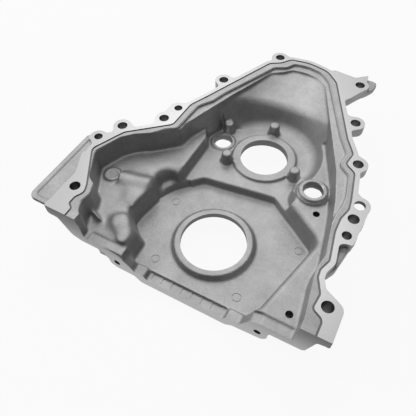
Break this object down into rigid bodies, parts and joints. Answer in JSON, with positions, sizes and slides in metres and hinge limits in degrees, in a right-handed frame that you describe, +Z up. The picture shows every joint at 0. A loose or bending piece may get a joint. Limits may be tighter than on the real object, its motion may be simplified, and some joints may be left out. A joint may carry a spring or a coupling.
{
  "type": "timing cover",
  "caption": "Die-cast engine timing cover: a deep triangular shell with a machined flange and sealing groove, round seal bores, raised rings, screw bosses and an oil pan face.",
  "frame": {"origin": "on the axis of the crank seal bore, in the plane of its inner rim", "axes": "+Z up out of the engine face along the crank bore, +Y from the oil pan towards the narrow peak, +X to the right seen from the engine"},
  "size_m": [0.303, 0.3295, 0.066],
  "materials": {
    "cast_aluminium": "fine blasted die casting, with milled faces and bores"
  },
  "bodies": {
    "root": {"timing_cover": "cast_aluminium"}
  },
  "joints": []
}
